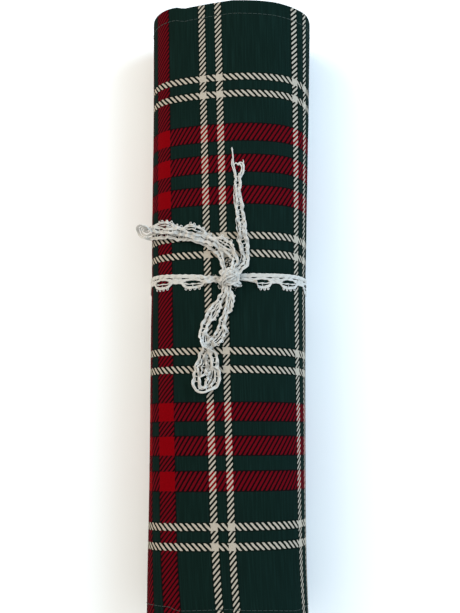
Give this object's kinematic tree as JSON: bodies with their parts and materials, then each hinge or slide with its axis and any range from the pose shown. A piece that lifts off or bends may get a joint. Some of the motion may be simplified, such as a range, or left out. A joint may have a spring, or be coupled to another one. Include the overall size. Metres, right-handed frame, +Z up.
{
  "type": "rolled table runner",
  "caption": "Tartan cotton table runner, hemmed and rolled into a flattened roll, tied round its middle with narrow lace in a knot with two loops and a tail.",
  "frame": {"origin": "on the surface that the roll lies on, under the middle of its bounding box", "axes": "+Y along the roll towards its wider far end, where the tie's tail points; +Z up from the surface, towards the knot; +X across the roll, away from the side that the left loop overhangs"},
  "size_m": [0.0995, 0.36, 0.0641],
  "materials": {
    "tartan_cotton": "matt ribbed cotton, printed tartan",
    "sewing_thread": "matt polyester thread",
    "lace_cotton": "matt cream cotton"
  },
  "bodies": {
    "roll": {"runner_cloth": "tartan_cotton", "far_hem_thread": "sewing_thread", "near_hem_thread": "sewing_thread", "outer_end_hem_thread": "sewing_thread", "inner_end_hem_thread": "sewing_thread"},
    "tie": {"lace_band": "lace_cotton", "lace_knot": "lace_cotton"},
    "left_loop": {"lace_left_loop": "lace_cotton"},
    "lower_loop": {"lace_lower_loop": "lace_cotton"},
    "upper_tail": {"lace_upper_tail": "lace_cotton"}
  },
  "joints": [
    {"name": "tie_slide", "type": "slide", "parent": "roll", "child": "tie", "axis": [0, -1, 0], "range_m": [0, 0.2], "deforming": ["lace_band"]},
    {"name": "left_loop_lift", "type": "hinge", "parent": "tie", "child": "left_loop", "pos_m": [0.0016, 0.0219, 0.0598], "axis": [0.4872, 0.8733, 0], "range_deg": [0, 90]},
    {"name": "lower_loop_lift", "type": "hinge", "parent": "tie", "child": "lower_loop", "pos_m": [0.002, 0.0044, 0.0592], "axis": [-1, 0, 0], "range_deg": [0, 90]},
    {"name": "upper_tail_lift", "type": "hinge", "parent": "tie", "child": "upper_tail", "pos_m": [0.0075, 0.0186, 0.0588], "axis": [1, 0, 0], "range_deg": [0, 90]}
  ]
}
